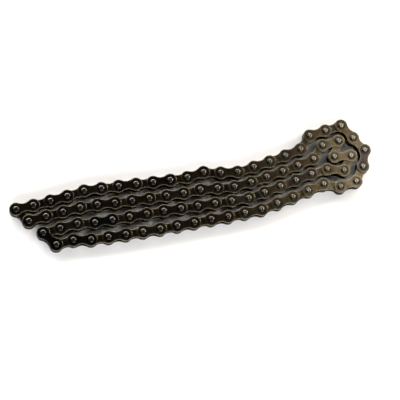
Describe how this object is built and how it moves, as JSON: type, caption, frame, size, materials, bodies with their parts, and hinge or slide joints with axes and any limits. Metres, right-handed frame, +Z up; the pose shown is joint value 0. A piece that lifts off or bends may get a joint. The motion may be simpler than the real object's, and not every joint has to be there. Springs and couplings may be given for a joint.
{
  "type": "roller chain",
  "caption": "Endless riveted roller chain with figure-of-eight link plates, folded into strands on its side; inner and outer links swing on their pins.",
  "frame": {"origin": "on the surface that the chain lies on, under the middle of its folded outline", "axes": "+X along the folded strands towards the crumpled end, +Y across the strands, +Z up along the pins"},
  "size_m": [0.2712, 0.058, 0.0088],
  "materials": {
    "link_plates": "brown tempered spring steel, oiled, satin",
    "pins": "hardened steel, riveted ends, satin",
    "bushes": "hardened steel, oiled",
    "rollers": "hardened steel, oiled, smooth"
  },
  "bodies": {
    "core": {"core_outer_plates_lower": "link_plates", "core_outer_plates_upper": "link_plates", "core_inner_plates_lower": "link_plates", "core_inner_plates_upper": "link_plates", "core_pins": "pins", "core_bushes": "bushes", "core_rollers": "rollers"},
    "link_84_inner": {"link_84_inner": "link_plates"},
    "link_01_outer": {"link_01_outer": "link_plates"},
    "link_02_inner": {"link_02_inner": "link_plates"},
    "link_03_outer": {"link_03_outer": "link_plates"},
    "link_04_inner": {"link_04_inner": "link_plates"},
    "link_05_outer": {"link_05_outer": "link_plates"},
    "link_06_inner": {"link_06_inner": "link_plates"},
    "link_07_outer": {"link_07_outer": "link_plates"},
    "link_08_inner": {"link_08_inner": "link_plates"},
    "link_09_outer": {"link_09_outer": "link_plates"},
    "link_10_inner": {"link_10_inner": "link_plates"},
    "link_11_outer": {"link_11_outer": "link_plates"},
    "link_12_inner": {"link_12_inner": "link_plates"},
    "link_13_outer": {"link_13_outer": "link_plates"},
    "link_14_inner": {"link_14_inner": "link_plates"},
    "link_15_outer": {"link_15_outer": "link_plates"},
    "link_16_inner": {"link_16_inner": "link_plates"},
    "link_17_outer": {"link_17_outer": "link_plates"},
    "link_18_inner": {"link_18_inner": "link_plates"},
    "link_19_outer": {"link_19_outer": "link_plates"},
    "link_20_inner": {"link_20_inner": "link_plates"},
    "link_21_outer": {"link_21_outer": "link_plates"},
    "link_22_inner": {"link_22_inner_plates": "link_plates", "link_22_inner_bushes": "bushes", "link_22_inner_opened_shank": "pins"},
    "link_43_outer": {"link_43_outer": "link_plates"},
    "link_42_inner": {"link_42_inner": "link_plates"},
    "link_41_outer": {"link_41_outer": "link_plates"},
    "link_40_inner": {"link_40_inner": "link_plates"},
    "link_39_outer": {"link_39_outer": "link_plates"},
    "link_38_inner": {"link_38_inner": "link_plates"},
    "link_37_outer": {"link_37_outer": "link_plates"},
    "link_36_inner": {"link_36_inner": "link_plates"},
    "link_35_outer": {"link_35_outer": "link_plates"},
    "link_34_inner": {"link_34_inner": "link_plates"},
    "link_33_outer": {"link_33_outer": "link_plates"},
    "link_32_inner": {"link_32_inner": "link_plates"},
    "link_31_outer": {"link_31_outer": "link_plates"},
    "link_30_inner": {"link_30_inner": "link_plates"},
    "link_29_outer": {"link_29_outer": "link_plates"},
    "link_28_inner": {"link_28_inner": "link_plates"},
    "link_27_outer": {"link_27_outer": "link_plates"},
    "link_26_inner": {"link_26_inner": "link_plates"},
    "link_25_outer": {"link_25_outer": "link_plates"},
    "link_24_inner": {"link_24_inner": "link_plates"},
    "link_23_outer": {"link_23_outer_plates": "link_plates", "link_23_outer_pin": "pins", "link_23_outer_opened_pin_ends": "pins"},
    "roller_22": {"link_22_inner_roller_22": "rollers"},
    "roller_23": {"link_22_inner_roller_23": "rollers"}
  },
  "joints": [
    {"name": "pivot_84", "type": "hinge", "parent": "core", "child": "link_84_inner", "pos_m": [-0.12375, 0.00608, 0], "axis": [0, 0, 1], "range_deg": [0, 15]},
    {"name": "pivot_01", "type": "hinge", "parent": "link_84_inner", "child": "link_01_outer", "pos_m": [-0.13071, 0.01669, 0], "axis": [0, 0, 1], "range_deg": [0, 15]},
    {"name": "pivot_02", "type": "hinge", "parent": "link_01_outer", "child": "link_02_inner", "pos_m": [-0.11801, 0.01669, 0], "axis": [0, 0, 1], "range_deg": [0, 16]},
    {"name": "pivot_03", "type": "hinge", "parent": "link_02_inner", "child": "link_03_outer", "pos_m": [-0.10532, 0.01706, 0], "axis": [0, 0, 1], "range_deg": [0, 16]},
    {"name": "pivot_04", "type": "hinge", "parent": "link_03_outer", "child": "link_04_inner", "pos_m": [-0.09264, 0.0178, 0], "axis": [0, 0, 1], "range_deg": [0, 16]},
    {"name": "pivot_05", "type": "hinge", "parent": "link_04_inner", "child": "link_05_outer", "pos_m": [-0.07999, 0.01891, 0], "axis": [0, 0, 1], "range_deg": [0, 17]},
    {"name": "pivot_06", "type": "hinge", "parent": "link_05_outer", "child": "link_06_inner", "pos_m": [-0.06734, 0.0178, 0], "axis": [0, 0, 1], "range_deg": [0, 17]},
    {"name": "pivot_07", "type": "hinge", "parent": "link_06_inner", "child": "link_07_outer", "pos_m": [-0.0547, 0.01658, 0], "axis": [0, 0, 1], "range_deg": [0, 18]},
    {"name": "pivot_08", "type": "hinge", "parent": "link_07_outer", "child": "link_08_inner", "pos_m": [-0.04207, 0.01526, 0], "axis": [0, 0, 1], "range_deg": [0, 18]},
    {"name": "pivot_09", "type": "hinge", "parent": "link_08_inner", "child": "link_09_outer", "pos_m": [-0.02946, 0.01371, 0], "axis": [0, 0, 1], "range_deg": [0, 18]},
    {"name": "pivot_10", "type": "hinge", "parent": "link_09_outer", "child": "link_10_inner", "pos_m": [-0.01682, 0.01249, 0], "axis": [0, 0, 1], "range_deg": [0, 19]},
    {"name": "pivot_11", "type": "hinge", "parent": "link_10_inner", "child": "link_11_outer", "pos_m": [-0.00415, 0.01161, 0], "axis": [0, 0, 1], "range_deg": [0, 19]},
    {"name": "pivot_12", "type": "hinge", "parent": "link_11_outer", "child": "link_12_inner", "pos_m": [0.0085, 0.01271, 0], "axis": [0, 0, 1], "range_deg": [0, 19]},
    {"name": "pivot_13", "type": "hinge", "parent": "link_12_inner", "child": "link_13_outer", "pos_m": [0.02077, 0.00943, 0], "axis": [0, 0, 1], "range_deg": [0, 20]},
    {"name": "pivot_14", "type": "hinge", "parent": "link_13_outer", "child": "link_14_inner", "pos_m": [0.03328, 0.00722, 0], "axis": [0, 0, 1], "range_deg": [0, 20]},
    {"name": "pivot_15", "type": "hinge", "parent": "link_14_inner", "child": "link_15_outer", "pos_m": [0.04594, 0.00811, 0], "axis": [0, 0, 1], "range_deg": [0, 20]},
    {"name": "pivot_16", "type": "hinge", "parent": "link_15_outer", "child": "link_16_inner", "pos_m": [0.05858, 0.00943, 0], "axis": [0, 0, 1], "range_deg": [0, 21]},
    {"name": "pivot_17", "type": "hinge", "parent": "link_16_inner", "child": "link_17_outer", "pos_m": [0.07115, 0.0112, 0], "axis": [0, 0, 1], "range_deg": [0, 21]},
    {"name": "pivot_18", "type": "hinge", "parent": "link_17_outer", "child": "link_18_inner", "pos_m": [0.08366, 0.01341, 0], "axis": [0, 0, 1], "range_deg": [0, 22]},
    {"name": "pivot_19", "type": "hinge", "parent": "link_18_inner", "child": "link_19_outer", "pos_m": [0.0931, 0.0219, 0], "axis": [0, 0, 1], "range_deg": [0, 59]},
    {"name": "pivot_20", "type": "hinge", "parent": "link_19_outer", "child": "link_20_inner", "pos_m": [0.10575, 0.02301, 0], "axis": [0, 0, 1], "range_deg": [0, 22]},
    {"name": "pivot_21", "type": "hinge", "parent": "link_20_inner", "child": "link_21_outer", "pos_m": [0.1184, 0.02412, 0], "axis": [0, 0, 1], "range_deg": [0, 89]},
    {"name": "pivot_22", "type": "hinge", "parent": "link_21_outer", "child": "link_22_inner", "pos_m": [0.12456, 0.01301, 0], "axis": [0, 0, 1], "range_deg": [0, 23]},
    {"name": "pivot_44", "type": "hinge", "parent": "core", "child": "link_43_outer", "pos_m": [-0.11578, -0.00464, 0], "axis": [0, 0, -1], "range_deg": [0, 16]},
    {"name": "pivot_43", "type": "hinge", "parent": "link_43_outer", "child": "link_42_inner", "pos_m": [-0.10868, -0.01516, 0], "axis": [0, 0, -1], "range_deg": [0, 17]},
    {"name": "pivot_42", "type": "hinge", "parent": "link_42_inner", "child": "link_41_outer", "pos_m": [-0.09599, -0.01472, 0], "axis": [0, 0, -1], "range_deg": [0, 18]},
    {"name": "pivot_41", "type": "hinge", "parent": "link_41_outer", "child": "link_40_inner", "pos_m": [-0.08357, -0.01736, 0], "axis": [0, 0, -1], "range_deg": [0, 19]},
    {"name": "pivot_40", "type": "hinge", "parent": "link_40_inner", "child": "link_39_outer", "pos_m": [-0.07092, -0.01847, 0], "axis": [0, 0, -1], "range_deg": [0, 20]},
    {"name": "pivot_39", "type": "hinge", "parent": "link_39_outer", "child": "link_38_inner", "pos_m": [-0.05826, -0.01947, 0], "axis": [0, 0, -1], "range_deg": [0, 20]},
    {"name": "pivot_38", "type": "hinge", "parent": "link_38_inner", "child": "link_37_outer", "pos_m": [-0.04559, -0.02035, 0], "axis": [0, 0, -1], "range_deg": [0, 21]},
    {"name": "pivot_37", "type": "hinge", "parent": "link_37_outer", "child": "link_36_inner", "pos_m": [-0.03291, -0.02113, 0], "axis": [0, 0, -1], "range_deg": [0, 22]},
    {"name": "pivot_36", "type": "hinge", "parent": "link_36_inner", "child": "link_35_outer", "pos_m": [-0.02023, -0.02179, 0], "axis": [0, 0, -1], "range_deg": [0, 23]},
    {"name": "pivot_35", "type": "hinge", "parent": "link_35_outer", "child": "link_34_inner", "pos_m": [-0.00754, -0.02235, 0], "axis": [0, 0, -1], "range_deg": [0, 24]},
    {"name": "pivot_34", "type": "hinge", "parent": "link_34_inner", "child": "link_33_outer", "pos_m": [0.00515, -0.02279, 0], "axis": [0, 0, -1], "range_deg": [0, 25]},
    {"name": "pivot_33", "type": "hinge", "parent": "link_33_outer", "child": "link_32_inner", "pos_m": [0.01782, -0.02367, 0], "axis": [0, 0, -1], "range_deg": [0, 26]},
    {"name": "pivot_32", "type": "hinge", "parent": "link_32_inner", "child": "link_31_outer", "pos_m": [0.03052, -0.0239, 0], "axis": [0, 0, -1], "range_deg": [0, 27]},
    {"name": "pivot_31", "type": "hinge", "parent": "link_31_outer", "child": "link_30_inner", "pos_m": [0.04322, -0.02412, 0], "axis": [0, 0, -1], "range_deg": [0, 28]},
    {"name": "pivot_30", "type": "hinge", "parent": "link_30_inner", "child": "link_29_outer", "pos_m": [0.05579, -0.02235, 0], "axis": [0, 0, -1], "range_deg": [0, 29]},
    {"name": "pivot_29", "type": "hinge", "parent": "link_29_outer", "child": "link_28_inner", "pos_m": [0.06835, -0.02044, 0], "axis": [0, 0, -1], "range_deg": [0, 30]},
    {"name": "pivot_28", "type": "hinge", "parent": "link_28_inner", "child": "link_27_outer", "pos_m": [0.08088, -0.01838, 0], "axis": [0, 0, -1], "range_deg": [0, 30]},
    {"name": "pivot_27", "type": "hinge", "parent": "link_27_outer", "child": "link_26_inner", "pos_m": [0.09339, -0.01617, 0], "axis": [0, 0, -1], "range_deg": [0, 31]},
    {"name": "pivot_26", "type": "hinge", "parent": "link_26_inner", "child": "link_25_outer", "pos_m": [0.10516, -0.02093, 0], "axis": [0, 0, -1], "range_deg": [0, 60]},
    {"name": "pivot_25", "type": "hinge", "parent": "link_25_outer", "child": "link_24_inner", "pos_m": [0.11779, -0.0196, 0], "axis": [0, 0, -1], "range_deg": [0, 77]},
    {"name": "pivot_24", "type": "hinge", "parent": "link_24_inner", "child": "link_23_outer", "pos_m": [0.12596, -0.00987, 0], "axis": [0, 0, -1], "range_deg": [0, 34]},
    {"name": "roller_22_spin", "type": "hinge", "parent": "link_22_inner", "child": "roller_22", "pos_m": [0.12456, 0.01301, 0], "axis": [0, 0, 1], "continuous": true},
    {"name": "roller_23_spin", "type": "hinge", "parent": "link_22_inner", "child": "roller_23", "pos_m": [0.13071, 0.0019, 0], "axis": [0, 0, 1], "continuous": true}
  ]
}
